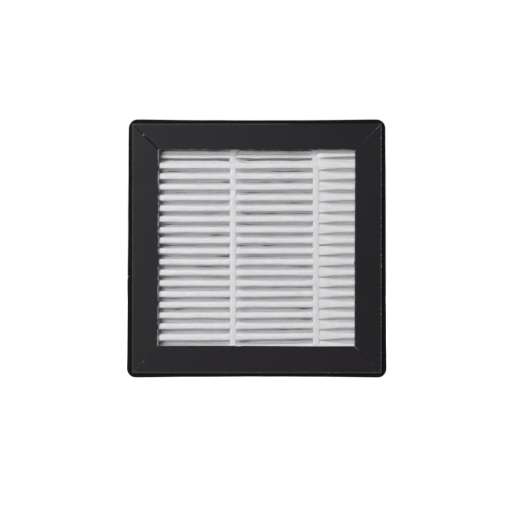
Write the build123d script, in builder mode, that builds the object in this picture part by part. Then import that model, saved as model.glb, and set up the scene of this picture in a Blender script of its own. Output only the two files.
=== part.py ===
"""Pleated filter cartridge for a bench-top solder fume extractor.

A square cartridge that stands on its lower edge. Four mitred board channels hold a pleated
particle filter behind the front opening and a granular carbon stage behind the rear one, and a
foam strip round the outside seals the cartridge in its bay.

Millimetres. +Z is up, +Y points to the rear (the way the air flows), and the origin is on the
surface that the cartridge stands on, under its centre.
"""

import os

from build123d import *

# Driving dimensions
OVERALL = 130.0  # across the edge seal, both ways
DEPTH = 30.0  # frame, front face to rear face
SEAL_THICK = 2.2  # foam strip, outwards from the frame
SEAL_WIDTH = 27.0  # foam strip, front to rear
SEAL_CORNER_R = 4.5  # where the strip wraps a corner of the frame
SEAL_JOINT_GAP = 0.3  # between the strip's two ends
SEAL_JOINT_DROP = 14.0  # the joint is on the left side, this far below the middle

BOARD = 1.0  # frame board thickness
FLANGE = 13.2  # frame flange, outside of the frame to its opening
FOLD_R = 0.8  # outside of the fold between flange and web

PITCH = 5.38  # pleat to pleat
PLEATS = 23  # front pleat tips
LOWEST_TIP = -59.9  # centre of the lowest front tip, from the middle of the frame
MEDIA = 0.5  # filter sheet thickness
PLEAT_DEPTH = 18.0  # front tips to rear tips
TIP_CLEARANCE = 0.3  # pleat tips to the flange in front, and to the net behind

BEAD_WIDTH = 3.0  # hot-melt spacer bead
BEAD_REACH = 5.0  # how far a bead runs down into the valleys
BEAD_SPACING = 41.8
MIDDLE_BEAD_X = -11.85  # the beads aren't centred, because the pack is cut from a wider one

BAND = 1.0  # felt band that closes the open ends of the pleats

NET = 0.4  # carbon retaining net thickness
CELL_PITCH = 10.0  # honeycomb, cell to cell
CELL_WALL = 0.6
CORE_RIM = 1.2  # least solid rim round the honeycomb
FILL_CLEARANCE = 0.2  # carbon fill, inside its cell
FILL_HEIGHT_SHARE = 0.94  # how full each cell is

# Worked out from them
FRAME = OVERALL - 2 * SEAL_THICK
INSIDE = FRAME - 2 * BOARD  # between opposite webs
OPENING = FRAME - 2 * FLANGE
CENTRE_Z = OVERALL / 2
FRONT_INSIDE = -DEPTH / 2 + BOARD  # inner face of the front flanges
REAR_INSIDE = DEPTH / 2 - BOARD

TURN_R = PITCH / 4  # middle of the sheet, in each turn
TIP_R = TURN_R + MEDIA / 2  # outside of a turn
VALLEY_R = TURN_R - MEDIA / 2  # inside of a turn
FRONT_TURN_Y = FRONT_INSIDE + TIP_CLEARANCE + TIP_R
REAR_TIP_Y = FRONT_INSIDE + TIP_CLEARANCE + PLEAT_DEPTH
REAR_TURN_Y = REAR_TIP_Y - TIP_R
PACK_REAR = REAR_TIP_Y + TIP_CLEARANCE
PACK_WIDTH = INSIDE - 2 * BAND
TIP_ZS = [CENTRE_Z + LOWEST_TIP + PITCH * n for n in range(PLEATS)]
TURN_ZS = [z + PITCH / 2 for z in TIP_ZS[:-1]]  # rear tips
PACK_BOTTOM = TIP_ZS[0] - TIP_R
PACK_TOP = TIP_ZS[-1] + TIP_R
INSIDE_BOTTOM = CENTRE_Z - INSIDE / 2
INSIDE_TOP = CENTRE_Z + INSIDE / 2

CORE_FRONT = PACK_REAR + NET
CORE_REAR = REAR_INSIDE - NET

FACE = Plane(origin=(0, 0, CENTRE_Z), x_dir=(1, 0, 0), z_dir=(0, -1, 0))
SIDE = Plane.YZ  # sketch x is Y and sketch y is Z, and extruding goes along X


def frame_rail(along):
    """One board channel. Seen from the front, `along` runs anticlockwise from the outward side."""
    face = Plane(origin=FACE.origin, x_dir=along, z_dir=FACE.z_dir)
    half, inner = FRAME / 2, OPENING / 2
    with BuildPart() as rail:
        with BuildSketch(face):
            with BuildLine():
                Polyline((-half, half), (half, half), (inner, inner), (-inner, inner), close=True)
            make_face()
        extrude(amount=DEPTH / 2, both=True)
        outer_edges = rail.edges().group_by(Axis(face.origin, face.y_dir))[-1]
        fillet(outer_edges.filter_by(Axis(face.origin, face.x_dir)), FOLD_R)
        with BuildSketch(face):
            with Locations((0, (inner - 1 + half - BOARD) / 2)):
                Rectangle(FRAME, half - BOARD - inner + 1)
        extrude(amount=DEPTH / 2 - BOARD, both=True, mode=Mode.SUBTRACT)
    return rail.part


def edge_seal():
    """Foam strip wrapped once round the frame, with a butt joint on the left."""
    with BuildPart() as seal:
        with BuildSketch(FACE):
            RectangleRounded(OVERALL, OVERALL, SEAL_CORNER_R)
            Rectangle(FRAME, FRAME, mode=Mode.SUBTRACT)
            with Locations((-(FRAME + SEAL_THICK) / 2, -SEAL_JOINT_DROP)):
                Rectangle(SEAL_THICK, SEAL_JOINT_GAP, mode=Mode.SUBTRACT)
        extrude(amount=SEAL_WIDTH / 2, both=True)
    return seal.part


def sheet_skin(tip_r, turn_r):
    """One side of the folded sheet, up from its lower rear end. Returns the two end points."""
    start = (REAR_TIP_Y, TIP_ZS[0] - tip_r)
    here = start
    for z in TIP_ZS:
        Line(here, (FRONT_TURN_Y, z - tip_r))
        ThreePointArc((FRONT_TURN_Y, z - tip_r), (FRONT_TURN_Y - tip_r, z), (FRONT_TURN_Y, z + tip_r))
        here = (FRONT_TURN_Y, z + tip_r)
        if z != TIP_ZS[-1]:
            turn_start, turn_end = (REAR_TURN_Y, z + tip_r), (REAR_TURN_Y, z + PITCH - tip_r)
            Line(here, turn_start)
            ThreePointArc(turn_start, (REAR_TURN_Y + turn_r, z + PITCH / 2), turn_end)
            here = turn_end
    end = (REAR_TIP_Y, TIP_ZS[-1] + tip_r)
    Line(here, end)
    return start, end


def pleated_media():
    """The particle filter: one sheet folded to and fro."""
    with BuildPart() as media:
        with BuildSketch(SIDE):
            with BuildLine():
                front_start, front_end = sheet_skin(TIP_R, VALLEY_R)
                rear_start, rear_end = sheet_skin(VALLEY_R, TIP_R)
                Line(front_start, rear_start)
                Line(front_end, rear_end)
            make_face()
        extrude(amount=PACK_WIDTH / 2, both=True)
    return media.part


def spacer_bead(x, outer_y, turn_y, turn_zs, low, high):
    """Hot-melt bead that runs across the pleat tips and down into each valley between them."""
    into = 1 if turn_y > outer_y else -1
    deep_y = outer_y + into * BEAD_REACH
    with BuildPart() as bead:
        with BuildSketch(SIDE.offset(x)):
            with Locations(((outer_y + deep_y) / 2, (low + high) / 2)):
                Rectangle(BEAD_REACH, high - low)
            with Locations(*[(turn_y, z) for z in turn_zs]):
                Circle(TIP_R, mode=Mode.SUBTRACT)
            with Locations(*[(turn_y + into * BEAD_REACH / 2, z) for z in turn_zs]):
                Rectangle(BEAD_REACH, 2 * TIP_R, mode=Mode.SUBTRACT)
        extrude(amount=BEAD_WIDTH / 2, both=True)
    return bead.part


def slab(width, front, rear, low, high, x=0.0):
    """A plain block between two Y planes and two Z planes, centred on x."""
    with BuildPart() as block:
        with BuildSketch(SIDE.offset(x)):
            with Locations(((front + rear) / 2, (low + high) / 2)):
                Rectangle(rear - front, high - low)
        extrude(amount=width / 2, both=True)
    return block.part


def cell_centres():
    """Centres of the honeycomb cells that fit whole inside the rim, in the FACE plane."""
    row_height = CELL_PITCH * 3**0.5 / 2
    cell_r = (CELL_PITCH - CELL_WALL) / 3**0.5  # centre to corner
    limit_x = INSIDE / 2 - CORE_RIM - (CELL_PITCH - CELL_WALL) / 2
    limit_y = INSIDE / 2 - CORE_RIM - cell_r
    rows = int(limit_y // row_height)
    centres = []
    for row in range(-rows, rows + 1):
        shift = CELL_PITCH / 2 if row % 2 else 0.0
        columns = int((limit_x + shift) // CELL_PITCH)
        for column in range(-columns, columns + 1):
            x = column * CELL_PITCH + shift
            if abs(x) <= limit_x:
                centres.append((x, row * row_height))
    return centres


def honeycomb_core():
    """Moulded grid whose cells hold the carbon."""
    with BuildPart() as core:
        with BuildSketch(FACE.offset(-CORE_FRONT)):
            Rectangle(INSIDE, INSIDE)
            with Locations(*cell_centres()):
                RegularPolygon((CELL_PITCH - CELL_WALL) / 2, 6, major_radius=False, rotation=30,
                               mode=Mode.SUBTRACT)
        extrude(amount=CORE_FRONT - CORE_REAR)
    return core.part


def carbon_granules():
    """The granular fill, as one loose charge in each cell."""
    across = CELL_PITCH - CELL_WALL - 2 * FILL_CLEARANCE
    with BuildPart() as fill:
        with BuildSketch(FACE.offset(-CORE_FRONT)):
            with Locations(*cell_centres()):
                RegularPolygon(across / 2, 6, major_radius=False, rotation=30)
        extrude(amount=(CORE_FRONT - CORE_REAR) * FILL_HEIGHT_SHARE)
    return fill.part


pieces = {
    "frame_top": frame_rail((1, 0, 0)),
    "frame_left": frame_rail((0, 0, 1)),
    "frame_bottom": frame_rail((-1, 0, 0)),
    "frame_right": frame_rail((0, 0, -1)),
    "edge_seal": edge_seal(),
    "pleated_media": pleated_media(),
    "side_band_left": slab(BAND, FRONT_INSIDE, PACK_REAR, INSIDE_BOTTOM, INSIDE_TOP,
                           x=-(PACK_WIDTH + BAND) / 2),
    "side_band_right": slab(BAND, FRONT_INSIDE, PACK_REAR, INSIDE_BOTTOM, INSIDE_TOP,
                            x=(PACK_WIDTH + BAND) / 2),
    "end_glue_top": slab(PACK_WIDTH, FRONT_INSIDE, PACK_REAR, PACK_TOP, INSIDE_TOP),
    "end_glue_bottom": slab(PACK_WIDTH, FRONT_INSIDE, PACK_REAR, INSIDE_BOTTOM, PACK_BOTTOM),
    "carbon_front_net": slab(INSIDE, PACK_REAR, CORE_FRONT, INSIDE_BOTTOM, INSIDE_TOP),
    "honeycomb_core": honeycomb_core(),
    "carbon_granules": carbon_granules(),
    "carbon_rear_net": slab(INSIDE, CORE_REAR, REAR_INSIDE, INSIDE_BOTTOM, INSIDE_TOP),
}
for place, offset in (("left", -1), ("middle", 0), ("right", 1)):
    bead_x = MIDDLE_BEAD_X + offset * BEAD_SPACING
    pieces[f"front_bead_{place}"] = spacer_bead(
        bead_x, FRONT_INSIDE, FRONT_TURN_Y, TIP_ZS, PACK_BOTTOM, PACK_TOP
    )
    pieces[f"rear_bead_{place}"] = spacer_bead(
        bead_x, PACK_REAR, REAR_TURN_Y, TURN_ZS, TIP_ZS[0] - VALLEY_R, TIP_ZS[-1] + VALLEY_R
    )

os.makedirs("parts", exist_ok=True)
for name, piece in pieces.items():
    piece.label = name
    export_step(piece, f"parts/{name}.step")
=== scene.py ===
"""Looks of the pleated filter cartridge, built round its CAD frame.

Shapes are worked out in millimetres and made in metres. +Z is up and the front opening faces -Y.
"""

import math

import bmesh
import bpy
import mathutils
import numpy as np
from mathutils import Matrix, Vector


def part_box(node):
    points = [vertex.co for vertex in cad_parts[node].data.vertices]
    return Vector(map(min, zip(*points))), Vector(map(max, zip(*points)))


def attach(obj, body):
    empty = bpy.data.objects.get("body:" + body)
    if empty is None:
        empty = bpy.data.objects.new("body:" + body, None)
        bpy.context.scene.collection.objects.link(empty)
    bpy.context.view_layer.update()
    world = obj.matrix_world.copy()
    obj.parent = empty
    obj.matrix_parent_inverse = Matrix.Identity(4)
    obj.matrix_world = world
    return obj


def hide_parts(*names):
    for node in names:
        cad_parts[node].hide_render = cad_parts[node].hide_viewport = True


MM = 0.001
MERGE_DISTANCE = 1e-6  # points nearer to each other than this, in metres, become one

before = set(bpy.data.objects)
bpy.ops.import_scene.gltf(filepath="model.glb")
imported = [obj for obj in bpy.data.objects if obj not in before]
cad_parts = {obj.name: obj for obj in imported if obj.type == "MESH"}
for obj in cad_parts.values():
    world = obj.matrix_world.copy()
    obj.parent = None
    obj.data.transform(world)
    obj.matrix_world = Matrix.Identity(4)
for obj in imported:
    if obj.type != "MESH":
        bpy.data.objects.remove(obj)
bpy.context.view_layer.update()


def node_box(name):
    """A CAD node's lowest and highest corner, in millimetres."""
    low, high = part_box(name)
    return np.array(low) / MM, np.array(high) / MM


# The frame's own sizes, read from the CAD nodes
RAIL_LOW, RAIL_HIGH = node_box("frame_bottom")
TOP_HIGH = node_box("frame_top")[1]
SEAL_LOW, SEAL_HIGH = node_box("edge_seal")
MEDIA_LOW, MEDIA_HIGH = node_box("pleated_media")
NET_HIGH = node_box("carbon_rear_net")[1]
CORE_LOW, CORE_HIGH = node_box("honeycomb_core")

HALF = (RAIL_HIGH[0] - RAIL_LOW[0]) / 2  # middle of the frame to its outside
FLANGE = RAIL_HIGH[2] - RAIL_LOW[2]
OPENING_HALF = HALF - FLANGE
FRONT_Y, REAR_Y = RAIL_LOW[1], RAIL_HIGH[1]
MIDDLE_Y = (FRONT_Y + REAR_Y) / 2
CENTRE_Z = (RAIL_LOW[2] + TOP_HIGH[2]) / 2
SEAL_HALF = (SEAL_HIGH[0] - SEAL_LOW[0]) / 2
BOARD = REAR_Y - NET_HIGH[1]

# Sizes that the CAD boxes don't show
FOLD_R = 0.4  # outside of the fold between flange and web
PITCH = 5.38  # pleat to pleat
PLEATS = 23
SHEET = 0.5  # thickness of the filter sheet
TURN_R = PITCH / 4  # middle of the sheet, in each turn
TIP_R = TURN_R + SHEET / 2
BEAD_XS = {
    name: sum(corner[0] for corner in node_box(f"front_bead_{name}")) / 2
    for name in ("left", "middle", "right")
}
CELL_PITCH = 10.0  # honeycomb, cell to cell
CELL_ACROSS = 9.4  # inside one cell, wall to wall
CORE_RIM = 1.2  # least solid rim round the cells
OPENING_TURN = math.radians(-0.18)  # the opening was cut a little out of square with the frame


# ---- helpers


def smoothstep(value, low, high):
    """0 below low, 1 above high, and a smooth rise between."""
    share = np.clip((np.asarray(value, float) - low) / (high - low), 0, 1)
    return share * share * (3 - 2 * share)


def bump(value, middle, width):
    """A soft hump, 1 at the middle and nearly 0 a width away."""
    return np.exp(-(((np.asarray(value, float) - middle) / (0.5 * width)) ** 2))


def wander(rng, spacing, reach=80.0):
    """A smooth random curve of a distance, from -1 to 1, that turns about once every spacing."""
    knots = rng.uniform(-1, 1, int(2 * reach / spacing) + 3)

    def curve(place):
        at = np.clip((np.asarray(place, float) + reach) / spacing, 0, len(knots) - 1.001)
        index = at.astype(int)
        share = smoothstep(at - index, 0, 1)
        return knots[index] * (1 - share) + knots[index + 1] * share

    return curve


def grid_faces(rows, columns, close_columns=False, first=0, flip=False):
    """The quads of a grid whose points are stored row by row, starting at point `first`."""
    row, column = np.meshgrid(
        np.arange(rows - 1), np.arange(columns if close_columns else columns - 1), indexing="ij",
    )
    next_column = (column + 1) % columns
    corners = [
        row * columns + column,
        row * columns + next_column,
        (row + 1) * columns + next_column,
        (row + 1) * columns + column,
    ]
    quads = np.stack(corners, axis=-1).reshape(-1, 4) + first
    return quads[:, ::-1] if flip else quads


def tube_faces(rows, columns, flip=False):
    """The faces of a tube whose points are stored section by section, with a cap at each end."""
    first, last = list(range(columns)), list(range((rows - 1) * columns, rows * columns))
    caps = [first, last[::-1]] if flip else [first[::-1], last]
    return grid_faces(rows, columns, close_columns=True, flip=flip).tolist() + caps


def closed_shell(outer, inner):
    """The points and faces of a closed shell between two grids of points of the same size: the
    outer faces, the inner ones, then the rims along the first and last column and row."""
    rows, columns = outer.shape[:2]
    count = rows * columns
    last_row = count - columns
    column = np.arange(columns - 1)
    start = np.arange(rows - 1) * columns
    end = start + columns
    rims = (
        (start, end, count + end, count + start),
        [corner + columns - 1 for corner in (start, count + start, count + end, end)],
        (column, count + column, count + column + 1, column + 1),
        [corner + last_row for corner in (column, column + 1, count + column + 1, count + column)],
    )
    faces = [grid_faces(rows, columns), grid_faces(rows, columns, first=count, flip=True)]
    faces += [np.stack(rim, axis=-1) for rim in rims]
    return np.concatenate([outer.reshape(-1, 3), inner.reshape(-1, 3)]), np.concatenate(faces)


def new_object(name, data):
    thing = bpy.data.objects.new(name, data)
    bpy.context.scene.collection.objects.link(thing)
    return thing


def make_piece(name, points, faces, materials, slots=None, wear=None, sharp=None):
    """A mesh object from points in millimetres. `slots` is each face's material and `wear` each
    point's wear. `sharp` is the angle in degrees over which edges stay sharp."""
    mesh = bpy.data.meshes.new(name)
    points = (np.reshape(points, (-1, 3)) * MM).tolist()
    mesh.from_pydata(points, [], [list(map(int, face)) for face in faces])
    for material in materials:
        mesh.materials.append(material)
    if slots is not None:
        mesh.polygons.foreach_set("material_index", np.asarray(slots, np.int32))
    if wear is not None:
        attribute = mesh.attributes.new("wear", "FLOAT", "POINT")
        attribute.data.foreach_set("value", np.asarray(wear, np.float32))
    tidy = bmesh.new()
    tidy.from_mesh(mesh)
    bmesh.ops.remove_doubles(tidy, verts=tidy.verts, dist=MERGE_DISTANCE)
    tidy.to_mesh(mesh)
    tidy.free()
    mesh.shade_smooth()
    if sharp is not None:
        mesh.set_sharp_from_angle(angle=math.radians(sharp))
    mesh.validate()
    return new_object(name, mesh)


def stands_for(piece, slot, *nodes):
    """Ties a piece to the frame: the body it rides on and the CAD nodes it shows. `slot`, its material slot,
    is not used.
    """
    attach(piece, "root")
    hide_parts(*nodes)


# ---- materials


def add(tree, kind, inputs=None, **settings):
    """Adds one node. An input is either a number or the socket that feeds it."""
    node = tree.nodes.new("ShaderNode" + kind)
    for key, value in settings.items():
        setattr(node, key, value)
    for key, value in (inputs or {}).items():
        if isinstance(value, bpy.types.NodeSocket):
            tree.links.new(value, node.inputs[key])
        else:
            node.inputs[key].default_value = value
    return node


def start_material(name, **values):
    """A material, its one Principled shader, and the point on the object, in metres, which its
    patterns start from. Values go on the shader's own sockets."""
    material = bpy.data.materials.new(name)
    material.use_nodes = True
    shader = material.node_tree.nodes["Principled BSDF"]
    for socket, value in values.items():
        shader.inputs[socket.replace("_", " ")].default_value = value
    return material, shader, add(material.node_tree, "TexCoord").outputs["Object"]


def feed(node, socket, output):
    node.id_data.links.new(output, node.inputs[socket])


def stretched(where, scale):
    """A place with its axes scaled, to draw out a pattern."""
    return add(where.id_data, "Mapping", {"Vector": where, "Scale": scale}).outputs["Vector"]


def noise(where, size, detail=3.0, roughness=0.55, distortion=0.0):
    """A noise whose features are about `size` millimetres across, from 0 to 1."""
    inputs = {
        "Vector": where,
        "Scale": 1 / (size * MM),
        "Detail": detail,
        "Roughness": roughness,
        "Distortion": distortion,
    }
    return add(where.id_data, "TexNoise", inputs).outputs[0]


def cells(where, size):
    """The distance pattern of cells about `size` millimetres across."""
    inputs = {"Vector": where, "Scale": 1 / (size * MM)}
    return add(where.id_data, "TexVoronoi", inputs).outputs["Distance"]


def remap(value, low, high, to_low=0.0, to_high=1.0, smooth=False):
    """A value between low and high, moved to between to_low and to_high."""
    inputs = {"Value": value, "From Min": low, "From Max": high, "To Min": to_low, "To Max": to_high}
    kind = "SMOOTHSTEP" if smooth else "LINEAR"
    return add(value.id_data, "MapRange", inputs, interpolation_type=kind).outputs[0]


def maths(operation, first, second):
    return add(first.id_data, "Math", {0: first, 1: second}, operation=operation).outputs[0]


def blend_colours(share, first, second):
    """first where share is 0 and second where it is 1."""
    first, second = ((*one, 1.0) if isinstance(one, tuple) else one for one in (first, second))
    return add(share.id_data, "Mix", {0: share, 6: first, 7: second}, data_type="RGBA").outputs[2]


def tint(value, low, high, first, second, most=1.0):
    """first where value is low, and `most` of the way to second where it is high."""
    return blend_colours(remap(value, low, high, 0.0, most), first, second)


def relief(shader, height, distance, strength=1.0, under=None):
    """Bump from a height, where 1 stands `distance` millimetres proud."""
    inputs = {"Height": height, "Distance": distance * MM, "Strength": strength}
    if under is not None:
        inputs["Normal"] = under
    output = add(height.id_data, "Bump", inputs).outputs[0]
    feed(shader, "Normal", output)
    return output


def black_board():
    """Black laminated board: fine grain, scuffed folds and chipped corners."""
    material, shader, where = start_material("black_board", Specular_IOR_Level=0.14)
    wear = add(material.node_tree, "Attribute", attribute_name="wear").outputs["Fac"]
    patches = noise(where, 22, detail=2)
    grain = noise(where, 0.28, detail=4, roughness=0.65)
    breaks = noise(where, 1.6, detail=5, roughness=0.7)
    chips = noise(where, 0.8, detail=5, roughness=0.7)
    dust = cells(where, 3.4)

    deep_black, faded_black = (0.0088, 0.0072, 0.0098), (0.0118, 0.0098, 0.0132)
    grain_grey, scuff_grey = (0.034, 0.031, 0.036), (0.078, 0.075, 0.080)
    core_grey, dust_grey = (0.50, 0.50, 0.51), (0.16, 0.155, 0.15)
    ink = tint(patches, 0.3, 0.7, deep_black, faded_black)
    ink = tint(grain, 0.25, 0.8, ink, grain_grey, 0.2)
    scuffed = maths("MULTIPLY", wear, remap(breaks, 0.34, 0.6, 0.3, 0.5))
    ink = blend_colours(scuffed, ink, scuff_grey)
    # over a wear of 1 the laminate is chipped through to the pale core
    chipped = maths("ADD", remap(wear, 1.0, 2.0, 0.0, 0.55), chips)
    chipped = remap(chipped, 0.74, 0.86, smooth=True)
    ink = blend_colours(chipped, ink, core_grey)
    near_cell = remap(dust, 0.045, 0.03)
    specks = maths("MULTIPLY", near_cell, remap(breaks, 0.52, 0.56))
    ink = blend_colours(specks, ink, dust_grey)
    feed(shader, "Base Color", ink)

    gloss = remap(patches, 0.3, 0.7, 0.47, 0.53)
    gloss = maths("ADD", gloss, remap(grain, 0.3, 0.7, -0.05, 0.06))
    feed(shader, "Roughness", gloss)
    fibres = noise(stretched(where, (1, 1, 0.35)), 0.7, detail=3)
    height = maths("ADD", grain, fibres)
    relief(shader, height, 0.018)
    return material


def board_core():
    """The raw grey core that a cut edge of the board shows."""
    material, shader, where = start_material("board_core", Roughness=0.9, Specular_IOR_Level=0.3)
    layers = noise(stretched(where, (1, 5, 1)), 0.5, detail=4, roughness=0.7)
    stains = noise(where, 2.4, detail=3)
    dark_layer, pale_layer, ink = (0.09, 0.088, 0.09), (0.34, 0.335, 0.34), (0.028, 0.027, 0.03)
    colour = tint(layers, 0.3, 0.7, dark_layer, pale_layer)
    colour = tint(stains, 0.5, 0.62, colour, ink, 0.9)
    feed(shader, "Base Color", colour)
    relief(shader, layers, 0.06)
    return material


def black_foam():
    """Closed-cell foam strip, nearly black, with a little dust, and fine pores painted darker as shade inside
    them.
    """
    material, shader, where = start_material(
        "black_foam", Roughness=0.92, Specular_IOR_Level=0.12, Sheen_Weight=0.03
    )
    pores = cells(where, 0.55)
    fine = cells(where, 0.26)
    swells = noise(where, 6, detail=3)
    dust = noise(where, 1.1, detail=6, roughness=0.75)
    pore_shade_black, skin_black = (0.003, 0.003, 0.0034), (0.0085, 0.008, 0.0088)
    swell_black, dust_grey = (0.011, 0.0105, 0.0115), (0.09, 0.088, 0.085)
    # the pores are painted darker than the skin, as shade inside them
    colour = tint(pores, 0.1, 0.55, pore_shade_black, skin_black)
    colour = tint(swells, 0.35, 0.7, colour, swell_black, 0.5)
    colour = tint(dust, 0.7, 0.78, colour, dust_grey, 0.7)
    feed(shader, "Base Color", colour)
    height = maths("ADD", pores, maths("MULTIPLY", fine, 0.5))
    relief(shader, height, 0.12)
    return material


def white_media():
    """Thin white nonwoven: felted fibres, faint clouds, soft creases, and light passing through it."""
    material, shader, where = start_material(
        "white_media", Roughness=0.95, Specular_IOR_Level=0.2, Sheen_Weight=0.15, Sheen_Roughness=0.6,
        Subsurface_Weight=0.55, Subsurface_Scale=0.0011, Subsurface_Radius=(1.0, 0.98, 1.05),
    )
    clouds = noise(where, 2.6, detail=4, roughness=0.6)
    felted = stretched(where, (0.55, 1, 1.4))
    fibres = noise(felted, 0.22, detail=5, roughness=0.75, distortion=1.2)
    drawn_out = stretched(where, (0.28, 1, 1))
    creases = noise(drawn_out, 2.2, detail=3, roughness=0.5, distortion=0.6)
    dull_white, bright_white, fibre_white = (0.79, 0.79, 0.81), (0.86, 0.86, 0.875), (0.72, 0.72, 0.735)
    colour = tint(clouds, 0.3, 0.7, dull_white, bright_white)
    colour = tint(fibres, 0.35, 0.8, colour, fibre_white, 0.35)
    feed(shader, "Base Color", colour)
    soft = relief(shader, creases, 0.28, 0.8)
    relief(shader, fibres, 0.05, 1.0, under=soft)
    return material


def hot_melt():
    """Milky hot-melt glue, smooth and a little glossy, with lumps and a cool tint."""
    material, shader, where = start_material(
        "hot_melt", Specular_IOR_Level=0.35, Subsurface_Weight=0.6, Subsurface_Scale=0.0016,
        Subsurface_Radius=(0.9, 1.0, 1.0),
    )
    swirl = noise(where, 3.2, detail=3, distortion=0.8)
    lumps = noise(stretched(where, (1, 1, 0.6)), 1.3, detail=2)
    dull_milk, bright_milk = (0.715, 0.72, 0.735), (0.765, 0.77, 0.78)
    colour = tint(swirl, 0.3, 0.7, dull_milk, bright_milk)
    feed(shader, "Base Color", colour)
    feed(shader, "Roughness", remap(swirl, 0.3, 0.7, 0.34, 0.52))
    relief(shader, lumps, 0.16, 0.7)
    return material


def felt():
    """Off-white felt band."""
    material, shader, where = start_material("felt", Roughness=0.97, Specular_IOR_Level=0.2, Sheen_Weight=0.3)
    fibres = noise(where, 0.3, detail=5, roughness=0.75, distortion=1.5)
    colour = blend_colours(fibres, (0.62, 0.62, 0.61), (0.8, 0.8, 0.79))
    feed(shader, "Base Color", colour)
    relief(shader, fibres, 0.1)
    return material


def moulded_plastic(name, dark, light, roughness):
    """Moulded plastic with a fine texture, faint flow marks and a touch of dust."""
    material, shader, where = start_material(name, Specular_IOR_Level=0.45)
    flow = noise(where, 9, detail=3, distortion=1.0)
    grain = noise(where, 0.2, detail=3)
    colour = tint(flow, 0.3, 0.7, dark, light)
    feed(shader, "Base Color", colour)
    gloss = remap(flow, 0.3, 0.7, roughness - 0.06, roughness + 0.08)
    feed(shader, "Roughness", gloss)
    relief(shader, grain, 0.02)
    return material


def charcoal():
    """Activated carbon: black, broken faces with a dull shine and a dusting of ash grey."""
    material, shader, where = start_material("charcoal", Specular_IOR_Level=0.5)
    tone = noise(where, 2.0, detail=3)
    pits = noise(where, 0.18, detail=4, roughness=0.7)
    coal, graphite, ash = (0.010, 0.010, 0.0105), (0.034, 0.034, 0.036), (0.11, 0.11, 0.11)
    colour = tint(tone, 0.35, 0.7, coal, graphite)
    colour = tint(pits, 0.62, 0.74, colour, ash, 0.35)
    feed(shader, "Base Color", colour)
    feed(shader, "Roughness", remap(tone, 0.3, 0.7, 0.36, 0.62))
    relief(shader, pits, 0.06)
    return material


BLACK_BOARD = black_board()
BOARD_CORE = board_core()
BLACK_FOAM = black_foam()
WHITE_MEDIA = white_media()
HOT_MELT = hot_melt()
FELT = felt()
NET_PLASTIC = moulded_plastic("net_plastic", (0.018, 0.018, 0.019), (0.03, 0.03, 0.031), 0.45)
CORE_PLASTIC = moulded_plastic("core_plastic", (0.024, 0.024, 0.026), (0.038, 0.038, 0.04), 0.5)
CHARCOAL = charcoal()


# ---- board frame

# The seam at each corner: its width at the outer and at the inner end
SEAM_GAPS = {
    "top_left": (0.14, 0.55),
    "top_right": (0.02, 0.05),
    "bottom_right": (0.03, 0.10),
    "bottom_left": (0.06, 0.14),
}
# How worn each seam's edges are, from its outer end (0) to its inner end (1)
SEAM_WEAR = {
    "top_left": ((0.0, 0.37, 0.41, 0.44, 0.48, 0.94, 1.0), (0.0, 0.0, 2.3, 2.3, 0.0, 0.0, 1.7)),
    "top_right": ((0.0, 0.5, 0.8, 1.0), (1.55, 1.3, 0.8, 0.2)),
    "bottom_right": (
        (0.0, 0.22, 0.3, 0.42, 0.5, 0.76, 0.84, 0.95, 1.0),
        (1.3, 0.1, 0.8, 0.8, 0.0, 0.0, 1.7, 1.7, 0.6),
    ),
    "bottom_left": ((0.0, 0.38, 0.43, 0.48, 1.0), (1.3, 1.1, 2.0, 1.1, 0.9)),
}
SEAM_CHAMFER = 0.15
CORNER_WEAR = 1.4  # at the outermost point of every seam
# The rails going clockwise as seen from the front, and for each: which way it faces outwards, in x
# and z, how much wider its front flange came out than it should, how worn its fold is, and the
# width and wear of its front lip
RAILS = ("frame_top", "frame_right", "frame_bottom", "frame_left")
CORNERS = ("top_left", "top_right", "bottom_right", "bottom_left")  # the corner before each rail
OUTWARD = dict(zip(RAILS, ((0, 1), (1, 0), (0, -1), (-1, 0))))
FLANGE_ERROR = dict(zip(RAILS, (0.2, 0.45, 0.6, 0.15)))
FOLD_WEAR = dict(zip(RAILS, (1.0, 1.32, 1.25, 0.85)))
LIP_CHAMFER = dict(zip(RAILS, (0.22, 0.3, 0.12, 0.36)))
LIP_WEAR = dict(zip(RAILS, (2.2, 1.8, 0.5, 3.6)))
# Small marks on the lips: rail, place along it, how far the board stands into the opening, width
LIP_MARKS = (
    ("frame_top", 14.6, 0.45, 4.2),
    ("frame_top", 38.0, -0.25, 26.0),
    ("frame_bottom", 9.2, -0.4, 1.6),
    ("frame_right", 7.0, 0.35, 1.4),
    ("frame_left", 20.0, 0.12, 9.0),
)
# Distances from a rail's end at which its skin has a row of points, closest where the seam is
FROM_END = np.concatenate([[0, SEAM_CHAMFER, 0.3, 0.55, 1.5, 3.0], np.linspace(5.5, HALF, 33)])
WORN_SIDE_FROM = 13.0  # the web is scuffed further than this from its middle line


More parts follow.
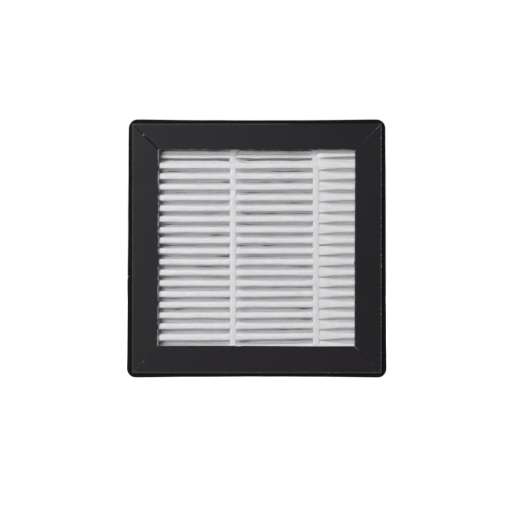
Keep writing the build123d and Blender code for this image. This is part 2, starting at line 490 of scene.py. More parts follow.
def board_outline(name):
    """The channel's outer skin from the front lip to the rear lip, as distance in from the outside
    of the frame, depth, the skin's outward direction in those two, and how worn it is."""
    chamfer = LIP_CHAMFER[name]
    fold_wear = FOLD_WEAR[name]
    lip_wear = LIP_WEAR[name]
    front_rows = [(FLANGE, FRONT_Y + 0.3 * chamfer, 0.0, -1.0, lip_wear)]
    for u in np.linspace(FLANGE - chamfer, FOLD_R + 0.45, 26):
        front_rows.append((u, FRONT_Y, 0.0, -1.0, 0.3 * lip_wear * (u == FLANGE - chamfer)))
    for u in (FOLD_R + 0.15, FOLD_R):
        front_rows.append((u, FRONT_Y, 0.0, -1.0, fold_wear))
    for degrees in (15, 30, 45, 60, 75):
        c, s = math.cos(math.radians(degrees)), math.sin(math.radians(degrees))
        front_rows.append((FOLD_R - FOLD_R * s, FRONT_Y + FOLD_R - FOLD_R * c, -s, -c, fold_wear))
    rows = list(front_rows)
    for share in np.linspace(0, 1, 9):
        y = FRONT_Y + FOLD_R + (REAR_Y - FRONT_Y - 2 * FOLD_R) * share
        rows.append((0.0, y, -1.0, 0.0, 0.5 * (abs(y - MIDDLE_Y) > WORN_SIDE_FROM)))
    for u, y, outward_u, outward_y, wear in reversed(front_rows):
        rows.append((u, 2 * MIDDLE_Y - y, outward_u, -outward_y, wear))
    return np.array(rows)


def on_frame(name, front, t, inward, depth):
    """Points of a rail from their distance along it, distance in from the outside of the frame,
    and depth. The front flanges turn a little, more towards the opening."""
    out_x, out_z = OUTWARD[name]
    x = out_z * t + out_x * (HALF - inward)
    z = -out_x * t + out_z * (HALF - inward)
    turn = OPENING_TURN * np.where(front, (inward / FLANGE) ** 2, 0)
    turned_x = x * np.cos(turn) - z * np.sin(turn)
    turned_z = x * np.sin(turn) + z * np.cos(turn)
    return np.stack([turned_x, depth, turned_z + CENTRE_Z], axis=-1)


def inner_skin(u, front, is_fold, inward, depth):
    """The back of the board behind each point of its outer skin: distance in, and depth."""
    on_web = u == 0
    inner_u = np.where(is_fold | on_web, BOARD, inward)
    behind = np.where(front, depth + BOARD, depth - BOARD)
    inner_y = np.where(on_web, np.clip(depth, FRONT_Y + BOARD, REAR_Y - BOARD), behind)
    inner_y = np.where(is_fold, np.where(front, FRONT_Y + BOARD, REAR_Y - BOARD), inner_y)
    return np.maximum(inner_u, BOARD), inner_y


def rail(name, seed):
    """One channel, with a mitred seam at each end."""
    rng = np.random.default_rng(seed)
    index = RAILS.index(name)
    before, after = CORNERS[index], CORNERS[(index + 1) % 4]
    u, y, outward_u, outward_y, wear = board_outline(name).T
    front = y < MIDDLE_Y
    ends = np.concatenate([FROM_END - HALF, HALF - FROM_END[-2::-1]])  # along the outermost edge
    share = ends[:, None] / HALF
    to_end = HALF - np.abs(ends)[:, None]

    def at_seams(before_value, after_value):
        """One value in the rail's first half, and another in its second."""
        return np.where(share < 0, before_value, after_value)

    gap = at_seams(*(np.interp(u, [0, FLANGE], SEAM_GAPS[corner]) for corner in (before, after))) / 2
    # the mitre follows both flanges' widths, so that the corners of the opening meet
    own_width = 1 + front * FLANGE_ERROR[name] / FLANGE
    side_error = at_seams(FLANGE_ERROR[RAILS[index - 1]], FLANGE_ERROR[RAILS[(index + 1) % 4]])
    side_width = 1 + front * side_error / FLANGE
    t_closed = share * (HALF - u * side_width)
    t = t_closed - share * gap

    inset = SEAM_CHAMFER * (1 - smoothstep(to_end, 0, SEAM_CHAMFER * 0.9))
    curl = 0.10 * wander(rng, 34)(t) + 0.05 * wander(rng, 11)(t) - 0.03
    sway = 0.07 * wander(rng, 25)(t) * smoothstep(u, FLANGE - 3, FLANGE)
    marks = np.zeros_like(t)
    for rail_name, at, amount, width in LIP_MARKS:
        if rail_name == name:
            marks += amount * bump(t, at, width) * smoothstep(u, FLANGE - 1.2, FLANGE)
    marks = np.where(front, marks, 0)
    lifted = np.where(front, 1, -1) * curl * smoothstep(u, FOLD_R, FLANGE)
    depth = y + lifted - inset * outward_y
    inward = u * own_width + sway + marks

    outer = on_frame(name, front, t, inward, depth)
    is_fold = (np.abs(outward_u) > 0) & (np.abs(outward_y) > 0)
    # a seam is a groove that closes at the back of the board
    inner = on_frame(name, front, t_closed, *inner_skin(u, front, is_fold, inward, depth))

    points, faces = closed_shell(outer, inner)
    rows, columns = t.shape
    slots = np.zeros(len(faces))
    slots[2 * (rows - 1) * (columns - 1):] = 1  # the rims are cut edges
    # the last two rims are the seams' sides. At the open top-left seam they take the black board instead of
    # the core, as painted shade inside the gap.
    seam_sides = slots[-2 * (columns - 1):].reshape(2, -1)
    seam_sides[[corner == "top_left" for corner in (before, after)]] = 0

    broken = 0.7 + 0.6 * wander(rng, 1.1)(t)
    worn = wear * np.where(front & (u > FLANGE - 1), broken, 1.0)
    if name == "frame_top":
        # this fold is sharp and black on its right half
        worn = np.where(front & (u < FLANGE - 1), worn * (1 - 0.9 * smoothstep(t, 14, 18)), worn)
    seam_wear = at_seams(*(np.interp(u / FLANGE, *SEAM_WEAR[corner]) for corner in (before, after)))
    worn = np.maximum(worn, (1 - smoothstep(to_end, 0.1, 0.5)) * seam_wear)
    corner = (1 - smoothstep(to_end, 0.3, 1.6)) * (1 - smoothstep(u, 0.5, 1.3))
    worn = np.maximum(worn, CORNER_WEAR * corner)
    piece = make_piece(
        f"{name}_board", points, faces, [BLACK_BOARD, BOARD_CORE], slots,
        np.concatenate([worn.ravel(), np.zeros(worn.size)]), sharp=40,
    )
    stands_for(piece, "frame_board", name)


for rail_seed, rail_name in enumerate(RAILS, 11):
    rail(rail_name, rail_seed)


# ---- foam seal

SEAL_OUTER_R = 4.5  # where the strip wraps a corner of the frame, on its outside
SEAL_INNER_R = 0.7  # and on its inside
SEAL_EDGE_R = 0.55  # the strip's rounded long edges
SEAL_JOINT_DROP = 14.0  # the joint is on the left side, this far below the middle
SEAL_JOINT_GAP = 0.12
SEAL_JOINT_STEP = 0.18  # how far the two cut ends are out of line
SEAL_PINCH = 0.46  # how far the strip is pressed in along the top and bottom
SEAL_HALF_LENGTH = 260.0  # about where its middle is
SEAL_REACH = 300.0  # so that the random curves cover its whole length


def strip_path(half, radius, joint_shift):
    """Points clockwise round a rounded square from the joint on its left side and back to it."""
    straight = np.linspace(0, 1, 41)[1:]
    points = [np.array([-half, -SEAL_JOINT_DROP + joint_shift])]
    for quarter in range(4):
        turn = -math.pi / 2 * quarter
        spin = np.array([[math.cos(turn), -math.sin(turn)], [math.sin(turn), math.cos(turn)]])
        start = points[-1]
        corner_start = spin @ np.array([-half, half - radius])
        points += [start + (corner_start - start) * share for share in straight]
        for degrees in range(9, 91, 9):
            a = math.radians(degrees)
            corner = (-half + radius - radius * math.cos(a), half - radius + radius * math.sin(a))
            points.append(spin @ np.array(corner))
    end = np.array([-half, -SEAL_JOINT_DROP - joint_shift])
    start = points[-1]
    points += [start + (end - start) * share for share in np.linspace(0, 1, 21)[1:]]
    return np.array(points)


def strip_section():
    """The strip's section as a loop: share of its thickness from the frame outwards, and depth."""
    low, high = SEAL_LOW[1], SEAL_HIGH[1]
    thick = SEAL_HALF - HALF
    edge = SEAL_EDGE_R / thick
    loop = [(0.0, low + 0.25), (0.10, low + 0.32), (0.24, low + 0.1), (0.45, low), (1 - edge, low)]
    for degrees in (22, 45, 68):
        a = math.radians(degrees)
        loop.append((1 - edge + edge * math.sin(a), low + SEAL_EDGE_R * (1 - math.cos(a))))
    loop += [(1.0, low + SEAL_EDGE_R + (high - low - 2 * SEAL_EDGE_R) * s) for s in np.linspace(0, 1, 13)]
    loop += [(a, low + high - y) for a, y in loop[7::-1]]
    loop += [(0.0, y) for y in np.linspace(high - 4, low + 4, 5)]
    return np.array(loop)


def foam_seal():
    rng = np.random.default_rng(21)
    inner = strip_path(HALF, SEAL_INNER_R, SEAL_JOINT_GAP / 2)
    outer = strip_path(SEAL_HALF, SEAL_OUTER_R, SEAL_JOINT_GAP / 2)
    # the strip is pressed in along the top and bottom, and stands wider towards its lower corners
    x, z = outer.T
    pinch = SEAL_PINCH * np.clip(1 - (x / 58) ** 2, 0, 1) * smoothstep(np.abs(z), 40, 62)
    down = np.clip((60 - z) / 120, 0, 1)
    spread = np.where(x < 0, 0.9 * down - 0.45, 0.55 * down - 0.28) * smoothstep(np.abs(x), 40, 62)
    outer = outer + np.stack([np.sign(x) * spread, -np.sign(z) * pinch], axis=-1)
    share, depth = strip_section().T
    length = np.concatenate([[0], np.cumsum(np.linalg.norm(np.diff(outer, axis=0), axis=1))])
    place_along = length - SEAL_HALF_LENGTH
    ripple = sum(0.05 * wander(rng, spacing, SEAL_REACH)(place_along) for spacing in (9, 31))
    normal = (outer - inner) / np.linalg.norm(outer - inner, axis=1, keepdims=True)
    flat = inner[:, None] * (1 - share[:, None]) + outer[:, None] * share[:, None]
    flat = flat + normal[:, None] * (ripple[:, None] * smoothstep(share, 0.3, 1.0))[..., None]
    creep = 0.12 * wander(rng, 17, SEAL_REACH)(place_along)
    depth = depth + creep[:, None] * (share > 0)
    points = np.stack([flat[..., 0], depth, flat[..., 1] + CENTRE_Z], axis=-1)
    points[-1, :, 0] += SEAL_JOINT_STEP * share
    faces = tube_faces(*points.shape[:2], flip=True)
    piece = make_piece("edge_seal_foam", points, faces, [BLACK_FOAM], sharp=50)
    stands_for(piece, "seal_foam", "edge_seal")


foam_seal()


# ---- pleated sheet

TIP_Y = MEDIA_LOW[1]  # outside of the front tips
TOP_PLEAT, BOTTOM_PLEAT = 20, 2  # the first and the last pleat that the opening shows
SAG = 0.55  # how far the tips have settled, less for those that the bottom rail holds up
SETTLED = np.minimum(1, np.arange(PLEATS) / BOTTOM_PLEAT)
TIP_ZS = MEDIA_LOW[2] + TIP_R + PITCH * np.arange(PLEATS) - SAG * SETTLED
REAR_TURN_Y = MEDIA_HIGH[1] - TIP_R
VALLEY_GAP = PITCH - 2 * TIP_R
PINCH_DEPTH = 7.6  # how far behind the tips facing pleats lean together
LEAN_UP = 0.12  # how far above the middle of a valley they meet
TOP_VALLEY_LIFT = 0.5  # the valley under the top pleat is this much higher than midway
TOP_VALLEY_SHARE = 0.4  # and the one above it is only this share as deep
FLATTENED_UNDER = 3.2  # where the pinch is shallower than this, a tip's section is flatter
# a tip's section, from its lower flank to its upper one: share of its half height, and depth
TIP_SECTION = (
    (-1.0, 1.0), (-0.97, 0.25), (-0.88, 0.08), (-0.6, 0.03),
    (0.0, 0.0), (0.45, 0.08), (0.84, 0.50), (1.0, 1.5),
)
FLANK_SHARES = (0.6, 0.91, 0.955, 1.0, 1.2, 1.65)  # rows behind a tip, as shares of the pinch depth
MEDIA_HALF = (MEDIA_HIGH[0] - MEDIA_LOW[0]) / 2


def sheet_columns():
    """Places across the sheet, closer together near the beads and the opening's left side."""
    coarse = np.linspace(-MEDIA_HALF, MEDIA_HALF, 2001)
    density = np.where(np.abs(coarse) > OPENING_HALF + 1, 0.3, 1.0)
    for bead_x in BEAD_XS.values():
        density += 1.2 * bump(coarse, bead_x + 1.5, 8)
    density += 1.2 * bump(coarse, -OPENING_HALF + 1, 5)
    total = np.cumsum(density)
    return np.interp(np.linspace(total[0], total[-1], 82), total, coarse)


def valley_opening(x, rng):
    """How far open each valley is at x, as a share of its full gap: the glue drags the pleats
    shut on the right side of a bead, and they open out again further on."""
    middle, right = BEAD_XS["middle"], BEAD_XS["right"]
    rows = []
    for _ in range(PLEATS - 1):
        reach_middle, reach_right = rng.uniform(2.5, 5), rng.uniform(9, 14)
        shut_middle, shut_right = rng.uniform(0.0, 0.2), rng.uniform(0.6, 0.85)
        share = np.full_like(x, 1.06)
        after = x - middle - 1.4
        share -= shut_middle * (1 - smoothstep(after, 0, reach_middle)) * smoothstep(after, -0.8, 0.2)
        after = x - right - 1.4
        shut = shut_right * (1 - np.clip(after / reach_right, 0, 1) ** 0.8)
        share -= shut * smoothstep(after, -0.8, 0.2)
        share += 0.08 * wander(rng, 9)(x) + 0.05 * wander(rng, 3.5)(x)
        rows.append(np.clip(share, 0.15, 1.15))
    rows[TOP_PLEAT] += 0.5
    return np.array(rows)


def deep_gaps(x, rng):
    """The gap left between facing pleats where they lean together, with open lenses here and
    there, mostly just left of a bead and beside the left rail."""
    rows = []
    for _ in range(PLEATS - 1):
        gap = 0.03 + 0.05 * wander(rng, 6)(x)
        for anchor, spread, chance in ((BEAD_XS["middle"] - 5, 4, 0.7), (BEAD_XS["right"] - 7, 5, 0.85),
                                       (-OPENING_HALF + 6, 4, 0.75), (0, 45, 0.4), (8, 12, 0.5)):
            if rng.random() < chance:
                gap += rng.uniform(0.15, 0.6) * bump(x, anchor + rng.normal(0, spread), rng.uniform(3, 10))
        rows.append(np.clip(gap, 0.02, 1.2))
    return np.array(rows)


def pleat_lines(x):
    """Heights of the tips, depth of the tips, and width and deep gap of the valleys, over x."""
    rng = np.random.default_rng(31)
    lean = wander(rng, 60)
    past_bead = smoothstep(x, BEAD_XS["right"] - 3, BEAD_XS["right"] + 3)
    tips = []
    for k in range(PLEATS):
        drift = 0.10 * wander(rng, 26)(x) + 0.05 * wander(rng, 8)(x)
        rise = 0.0065 * max(0.0, 1 - (k - BOTTOM_PLEAT) / 6) * (x + 20)
        if k <= BOTTOM_PLEAT:
            rise = (rise + 0.013 * x - 0.3) * SETTLED[k]
        if k == TOP_PLEAT:
            rise = rise - 0.7 + 0.9 * past_bead
        tips.append(TIP_ZS[k] + drift + 0.08 * lean(x) + rise)
    depth = np.array([0.05 + 0.08 * wander(rng, 15)(x) for _ in range(PLEATS)])
    depth[TOP_PLEAT] += 4.2 - 2.6 * past_bead
    return np.array(tips), TIP_Y + depth, valley_opening(x, rng), deep_gaps(x, rng)


def pinch_depths(x):
    """How far behind the tips facing pleats lean together, over x. The glue holds them shut on a
    bead's right side, so the valleys start shallow there, and past the last bead they stay so."""
    pinch = np.full_like(x, PINCH_DEPTH)
    for name, shallow, reach in (("middle", 0.92, 5.0), ("right", 0.88, 5.5)):
        after = x - BEAD_XS[name] - 1.2
        held = smoothstep(after, -1.5, 0) * np.exp(-((np.clip(after, 0, None) / reach) ** 2))
        pinch = pinch * (1 - shallow * held)
    beyond = x - BEAD_XS["right"]
    return pinch * (1 - 0.55 * smoothstep(beyond, 0, 2) * (1 - 0.45 * smoothstep(beyond, 3, 16)))


def flank(start, meets, straight, front, reach):
    """One side of a pleat, from behind its tip to its rear turn: each row's depth and height. It
    leans over to `meets` at the depth `reach`, and is straight further back."""
    rows = []
    for depth in (reach * share for share in FLANK_SHARES):
        base = start + (straight - start) * smoothstep(depth, 3, 15)
        lean = smoothstep(depth / reach, 0.90, 1) * (1 - smoothstep(depth / reach, 1.07, 1.8))
        rows.append((front + depth, base + (meets - base) * lean))
    return rows + [(REAR_TURN_Y, straight)]


def sheet_rows(x):
    """Depth and height, over x, of each fold and bend of the sheet, from its lower end to its upper."""
    tips, tip_y, opening, deep = pleat_lines(x)
    half_sheet = SHEET / 2
    middle = (tips[1:] + tips[:-1]) / 2
    middle[TOP_PLEAT - 1] += TOP_VALLEY_LIFT
    gap = VALLEY_GAP * opening
    at_left = 1 - smoothstep(x, -OPENING_HALF - 1.0, -OPENING_HALF + 1.5)
    pinch = pinch_depths(x)
    flatter = np.minimum(1, pinch / FLATTENED_UNDER)
    rows = [(MEDIA_HIGH[1], TIP_ZS[0] - TURN_R)]
    for k in range(PLEATS):
        first, last = k == 0, k == PLEATS - 1
        low = TURN_R if first else tips[k] - (middle[k - 1] + gap[k - 1] / 2 + half_sheet)
        up = TURN_R if last else middle[k] - gap[k] / 2 - half_sheet - tips[k]
        # beside the left rail the lower side of a pleat hangs down and its upper side is cut back
        low, up = low * (1 + 0.14 * at_left), up * (1 - 0.30 * at_left)
        below, above = tips[k] - low, tips[k] + up
        meets_below = below if first else middle[k - 1] + deep[k - 1] / 2 + half_sheet + LEAN_UP
        meets_above = above if last else middle[k] - deep[k] / 2 - half_sheet + LEAN_UP
        reach_below = pinch * (TOP_VALLEY_SHARE if k == TOP_PLEAT + 1 else 1.0)
        reach_above = pinch * (TOP_VALLEY_SHARE if k == TOP_PLEAT else 1.0)
        front = tip_y[k] + half_sheet
        rows += flank(below, meets_below, TIP_ZS[k] - TURN_R, front, reach_below)[::-1]
        for share, depth in TIP_SECTION:
            rows.append((front + depth * flatter, tips[k] + share * (low if share < 0 else up)))
        rows += flank(above, meets_above, TIP_ZS[k] + TURN_R, front, reach_above)
        if not last:
            for a in (math.radians(degrees) for degrees in (-45, 0, 45)):
                turn_z = TIP_ZS[k] + PITCH / 2 + TURN_R * math.sin(a)
                rows.append((REAR_TURN_Y + TURN_R * math.cos(a), turn_z))
    return rows + [(MEDIA_HIGH[1], TIP_ZS[-1] + TURN_R)]


def pleated_sheet():
    x = sheet_columns()
    points = np.array([np.stack(np.broadcast_arrays(x, y, z), axis=-1) for y, z in sheet_rows(x)])
    faces = grid_faces(*points.shape[:2], flip=True)
    piece = make_piece("pleated_media_sheet", points, faces, [WHITE_MEDIA], sharp=52)
    solid = piece.modifiers.new("thickness", "SOLIDIFY")
    solid.thickness = SHEET * MM
    solid.offset = 0.0
    stands_for(piece, "filter_media", "pleated_media")


pleated_sheet()


# ---- glue beads

BEAD_SHIFT = -0.25  # the beads were laid a little to the left
BEAD_HALF = 1.8
BEAD_BACK = 9.4  # how far behind the tips the glue reaches in a valley
# how far the glue is dragged to the right in the valleys, at least and at most
BEAD_DRAG = {"left": (0.3, 0.8), "middle": (0.5, 1.2), "right": (0.4, 0.9)}
BEAD_TAIL = 3.0  # how far back the dragged glue has sunk when it ends
BEAD_REACH = 140.0  # so that the random curves cover a bead's whole height


def glue_bead(name, seed):
    """A spacer bead as one soft ridge: clear of the tips, filling the valleys, steep on the left
    and dragged out into the valleys on the right."""
    rng = np.random.default_rng(seed)
    centre = BEAD_XS[name] + BEAD_SHIFT
    across = np.concatenate([np.linspace(-BEAD_HALF - 0.45, -BEAD_HALF + 0.35, 7)[:-1],
                             np.linspace(-BEAD_HALF + 0.35, BEAD_HALF - 0.5, 7)[:-1],
                             np.linspace(BEAD_HALF - 0.5, BEAD_HALF + 5.2, 22)])
    z = np.arange(MEDIA_LOW[2] + 0.2, MEDIA_HIGH[2] - 0.2, 0.34)
    tips, tip_y, _, _ = pleat_lines(np.array([centre]))
    tips, tip_y = tips[:, 0], tip_y[:, 0]
    nearest = np.abs(z[:, None] - tips).argmin(axis=1)
    off_tip = (z - tips[nearest]) / (PITCH / 2)
    valley = smoothstep(np.abs(off_tip), 0.42, 0.8)
    valley_index = np.clip(nearest + (off_tip > 0), 0, PLEATS)
    drag = rng.uniform(*BEAD_DRAG[name], PLEATS + 1)[valley_index]
    # in a valley the left side slants, its lower end standing further right
    slant = 0.16 * np.where(off_tip > 0, off_tip - 1, off_tip + 1) * valley
    edge_left = -BEAD_HALF + 0.10 * wander(rng, 3.1, BEAD_REACH)(z) + 0.14 * valley - slant
    edge_right = BEAD_HALF - 0.25 + 0.12 * wander(rng, 3.7, BEAD_REACH)(z)
    face = -0.04 + 0.06 * valley + 0.05 * wander(rng, 6, BEAD_REACH)(z)
    x = np.broadcast_to(across, (len(z), len(across)))
    left = smoothstep(x, edge_left[:, None] - 0.22, edge_left[:, None] + 0.25)
    after = np.clip(x - edge_right[:, None], 0, None)
    along_drag = after / (0.7 + drag[:, None] * valley[:, None])
    sink = BEAD_TAIL * along_drag ** 1.5 + BEAD_BACK * np.clip(along_drag - 1, 0, None)
    dome = 0.08 * np.clip(x / BEAD_HALF, -1, 1) ** 2
    base = np.interp(z, tips, tip_y)
    front = base[:, None] + face[:, None] + dome + BEAD_BACK * (1 - left) + sink
    front = np.minimum(front, TIP_Y + BEAD_BACK)
    front_points = np.stack(np.broadcast_arrays(centre + x, front, z[:, None]), axis=-1)
    back_points = front_points.copy()
    back_points[..., 1] = TIP_Y + BEAD_BACK + 0.6
    piece = make_piece(
        f"front_bead_{name}_glue", *closed_shell(front_points, back_points), [HOT_MELT], sharp=80,
    )
    stands_for(piece, "hot_melt", f"front_bead_{name}")


for bead_seed, bead_name in enumerate(BEAD_XS, 41):
    glue_bead(bead_name, bead_seed)


# ---- carbon stage

NET_STRAND = 0.34
NET_MESH = 1.9
GRANULE = 1.75
GRANULE_TRIES = 34  # in each layer of a cell, less those that find no room
HEXAGON = 1.1547  # a hexagon's corner radius, for a distance of 1 to its sides


def carbon_net(node, seed):
    """One of the moulded nets that hold the carbon in: a grid of crossing strands."""
    low, high = node_box(node)
    count = int((high[0] - low[0]) / NET_MESH)
    lines = np.linspace(low[0], high[0], count + 1)
    x, z = np.meshgrid(lines, lines - low[0] + low[2], indexing="ij")
    rng = np.random.default_rng(seed)
    ripple = sum(0.10 * wander(rng, 21)(v) for v in (x, z - CENTRE_Z))
    y = (low[1] + high[1]) / 2 + np.clip(ripple, -0.1, 0.1)
    points = np.stack([x, y, z], axis=-1)
    piece = make_piece(f"{node}_strands", points, grid_faces(count + 1, count + 1), [NET_PLASTIC])
    strands = piece.modifiers.new("strands", "WIREFRAME")
    strands.thickness = NET_STRAND * MM
    strands.use_even_offset = False
    stands_for(piece, "carbon_net", node)


def cell_centres():
    """Centres of the honeycomb's cells, as in the CAD model."""
    row_height = CELL_PITCH * math.sqrt(3) / 2
    inside = (CORE_HIGH[0] - CORE_LOW[0]) / 2
    limit_x = inside - CORE_RIM - CELL_ACROSS / 2
    limit_z = inside - CORE_RIM - CELL_ACROSS / math.sqrt(3)
    rows = int(limit_z // row_height)
    centres = []
    for row in range(-rows, rows + 1):
        shift = CELL_PITCH / 2 if row % 2 else 0.0
        columns = int((limit_x + shift) // CELL_PITCH)
        for column in range(-columns, columns + 1):
            x = column * CELL_PITCH + shift
            if abs(x) <= limit_x:
                centres.append((x, row * row_height))
    return np.array(centres)


def chip_shape():
    """An icosahedron of radius 1, the start of every granule."""
    g = (1 + math.sqrt(5)) / 2
    pairs = [(a, b) for b in (g, -g) for a in (-1, 1)]
    corners = [(a, b, 0) for a, b in pairs] + [(0, a, b) for a, b in pairs] + [(b, 0, a) for a, b in pairs]
    faces = [(0, 11, 5), (0, 5, 1), (0, 1, 7), (0, 7, 10), (0, 10, 11), (1, 5, 9), (5, 11, 4), (11, 10, 2),
             (10, 7, 6), (7, 1, 8), (3, 9, 4), (3, 4, 2), (3, 2, 6), (3, 6, 8), (3, 8, 9), (4, 9, 5),
             (2, 4, 11), (6, 2, 10), (8, 6, 7), (9, 8, 1)]
    return np.array(corners) / math.hypot(1, g), np.array(faces)


def granules():
    """Crushed carbon packed into every cell, two layers deep where it shows, over a filled bed."""
    rng = np.random.default_rng(61)
    corners, chip_faces = chip_shape()
    points, faces = [], []
    rear = CORE_HIGH[1] - 0.1
    inner = CELL_ACROSS / 2 - 0.25
    for cell_x, cell_z in cell_centres():
        for y in (rear - GRANULE * 1.15, rear - GRANULE * 0.5):
            placed = []
            for _ in range(GRANULE_TRIES):
                x, z = rng.uniform(-inner, inner, 2)
                reach = max(abs(x), abs(0.5 * x + 0.866 * z), abs(0.5 * x - 0.866 * z))
                if reach > inner - GRANULE * 0.42:
                    continue
                if any(math.hypot(x - a, z - b) < GRANULE * 0.66 for a, b in placed):
                    continue
                placed.append((x, z))
                size = GRANULE * 0.5 * rng.uniform(0.72, 1.12)
                stretch = rng.uniform(0.65, 1.15, 3)
                spin = np.linalg.qr(rng.normal(size=(3, 3)))[0]
                if np.linalg.det(spin) < 0:
                    spin[:, 0] *= -1
                chip = corners * stretch * rng.uniform(0.8, 1.15, (len(corners), 1)) * size @ spin.T
                chip += [cell_x + x, y + rng.uniform(-0.25, 0.1), cell_z + z + CENTRE_Z]
                chip[:, 1] = np.minimum(chip[:, 1], rear)
                faces.append(chip_faces + len(corners) * len(points))
                points.append(chip)
    points, faces = np.concatenate(points), np.concatenate(faces).tolist()
    ring = [math.radians(30 + 60 * i) for i in range(6)]
    bed_radius = (inner + 0.1) * HEXAGON
    bed = []
    for cell_x, cell_z in cell_centres():
        first = len(points) + len(bed)
        for y in (CORE_LOW[1], rear - GRANULE * 1.3):
            bed += [(cell_x + bed_radius * math.cos(a), y,
                     cell_z + CENTRE_Z + bed_radius * math.sin(a)) for a in ring]
        faces += [[first + i for i in range(6)], [first + 11 - i for i in range(6)]]
        faces += [[first + i, first + 6 + i, first + 6 + (i + 1) % 6, first + (i + 1) % 6] for i in range(6)]
    piece = make_piece("carbon_granules_fill", np.concatenate([points, bed]), faces, [CHARCOAL], sharp=25)
    stands_for(piece, "activated_carbon", "carbon_granules")


carbon_net("carbon_rear_net", 51)
carbon_net("carbon_front_net", 52)
granules()


# ---- what closes the pleats' ends

PAD_STATIONS = 90
PAD_CORNER_SHARE = 0.3  # of its lesser side, how far a pad's edges are rounded


def pad(node, suffix, slot, material, along, unevenness, seed):
    """A long pad with rounded edges that fills its CAD node's box. `along` is its long axis, and
    `unevenness` how far its faces wander inwards, as a share of its half thickness."""
    rng = np.random.default_rng(seed)
    low, high = node_box(node)
    middle, half = (low + high) / 2, (high - low) / 2
    across = [axis for axis in range(3) if axis != along]
    radius = 2 * PAD_CORNER_SHARE * half[across].min()
    section = []
    for quarter, (sign_a, sign_b) in enumerate(((1, 1), (-1, 1), (-1, -1), (1, -1))):
        for degrees in (0, 22.5, 45, 67.5, 90):
            a = math.radians(90 * quarter + degrees)
            section.append((sign_a * (half[across[0]] - radius) + radius * math.cos(a),
                            sign_b * (half[across[1]] - radius) + radius * math.sin(a)))
    section = np.array(section)
    place_along = np.linspace(-half[along], half[along], PAD_STATIONS)
    to_end = half[along] - np.abs(place_along)
    end_round = radius * (1 - np.sqrt(1 - (1 - np.clip(to_end / radius, 0, 1)) ** 2))
    points = np.zeros((PAD_STATIONS, len(section), 3))
    points[..., along] = middle[along] + place_along[:, None]
    for axis, values in zip(across, section.T):
        hollow = unevenness * half[across].min() * (1 + wander(rng, 7)(place_along)) / 2
        room = half[axis] - np.minimum(hollow + end_round, 0.8 * half[axis])
        points[..., axis] = middle[axis] + values * (room / half[axis])[:, None]
    piece = make_piece(f"{node}_{suffix}", points, tube_faces(*points.shape[:2]), [material], sharp=50)
    stands_for(piece, slot, node)
    return piece


for band_seed, band_name in enumerate(("side_band_left", "side_band_right"), 71):
    pad(band_name, "felt", "felt_band", FELT, 2, 0.24, band_seed)
for glue_seed, glue_name in enumerate(("end_glue_top", "end_glue_bottom"), 73):
    pad(glue_name, "bed", "hot_melt", HOT_MELT, 0, 0.3, glue_seed)

# These CAD shapes are shown as they are
CAD_LOOKS = {"honeycomb_core": CORE_PLASTIC, **{f"rear_bead_{name}": HOT_MELT for name in BEAD_XS}}
for node, material in CAD_LOOKS.items():
    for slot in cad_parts[node].material_slots:
        slot.material = material


# ---- floor, light and camera

FLOOR_HALF = 2400.0
WALL_SIDES, WALL_RADIUS, WALL_HEIGHT = 48, 2300.0, 3000.0


def studio_floor():
    """A pale, glowing floor. It throws no light back up at the object."""
    material, shader, where = start_material("floor", Roughness=0.9, Specular_IOR_Level=0.0)
    tone = noise(where, 300, detail=2)
    feed(shader, "Base Color", blend_colours(tone, (0.90,) * 3, (0.92,) * 3))
    shader.inputs["Emission Color"].default_value = (1.0, 1.0, 1.0, 1.0)
    shader.inputs["Emission Strength"].default_value = 0.86
    corners = [(FLOOR_HALF * x, FLOOR_HALF * y, 0) for x, y in ((-1, -1), (1, -1), (1, 1), (-1, 1))]
    floor = make_piece("studio_floor", corners, [(0, 1, 2, 3)], [material])
    floor.visible_diffuse = False
    floor.visible_glossy = False


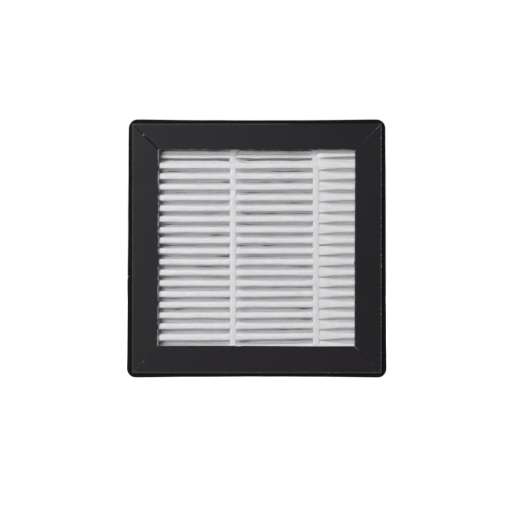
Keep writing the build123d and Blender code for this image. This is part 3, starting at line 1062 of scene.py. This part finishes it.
def backdrop():
    """A white wall all round, which the camera sees and the object isn't lit by."""
    material = bpy.data.materials.new("backdrop")
    material.use_nodes = True
    tree = material.node_tree
    tree.nodes.clear()
    glow = add(tree, "Emission", {"Strength": 1.0})
    add(tree, "OutputMaterial", {"Surface": glow.outputs[0]})
    angles = np.linspace(0, 2 * math.pi, WALL_SIDES, endpoint=False)
    x, y = WALL_RADIUS * np.cos(angles), WALL_RADIUS * np.sin(angles)
    points = [np.stack([x, y, np.full(WALL_SIDES, z)], axis=-1) for z in (-WALL_HEIGHT / 4, WALL_HEIGHT)]
    faces = grid_faces(2, WALL_SIDES, close_columns=True).tolist()
    faces.append(list(range(WALL_SIDES, 2 * WALL_SIDES)))
    wall = make_piece("backdrop", points, faces, [material])
    for ray in ("diffuse", "glossy", "transmission", "shadow"):
        setattr(wall, f"visible_{ray}", False)


def sky():
    """Soft light from all round: brighter above, dimmer below."""
    world = bpy.data.worlds.new("studio")
    bpy.context.scene.world = world
    world.use_nodes = True
    tree = world.node_tree
    tree.nodes.clear()
    direction = add(tree, "TexCoord").outputs["Generated"]
    upwards = add(tree, "SeparateXYZ", {0: direction}).outputs["Z"]
    ramp = add(tree, "ValToRGB", {0: remap(upwards, -1, 1)})
    stops = ((0.30, (0.12, 0.12, 0.122, 1)), (0.85, (0.26, 0.26, 0.265, 1)))
    for element, (position, colour) in zip(ramp.color_ramp.elements, stops):
        element.position = position
        element.color = colour
    background = add(tree, "Background", {"Color": ramp.outputs[0]})
    add(tree, "OutputWorld", {"Surface": background.outputs[0]})


def lamp(name, position, size, watts):
    """A square soft box aimed at the object's middle, all in millimetres but its power."""
    light = bpy.data.lights.new(name, "AREA")
    light.shape = "SQUARE"
    light.size = size * MM
    light.energy = watts
    holder = new_object(name, light)
    holder.location = np.array(position) * MM
    direction = holder.location - mathutils.Vector((0, 0, CENTRE_Z * MM))
    holder.rotation_euler = direction.to_track_quat("Z", "Y").to_euler()


VIEW_DISTANCE = 700.0
VIEW_WIDTH = 256.6  # how much the picture is across, at the seal
VIEW_CENTRE = (-0.96, -3.30)  # the middle of the picture, from the middle of the object


def camera():
    data = bpy.data.cameras.new("camera")
    data.sensor_width = 36.0
    data.lens = data.sensor_width * VIEW_DISTANCE / VIEW_WIDTH
    data.clip_start = 0.01
    data.clip_end = 50.0
    holder = new_object("camera", data)
    across, up = VIEW_CENTRE
    holder.location = np.array([across, SEAL_LOW[1] - VIEW_DISTANCE, CENTRE_Z + up]) * MM
    holder.rotation_euler = (math.radians(90), 0, 0)
    bpy.context.scene.camera = holder


studio_floor()
backdrop()
sky()
lamp("key", (-545, -975, 540), 380, 6.55)
lamp("fill", (-330, -1080, 130), 300, 5.3)
lamp("back", (300, 1200, 600), 700, 8)
camera()
bpy.context.scene.view_settings.view_transform = "Standard"
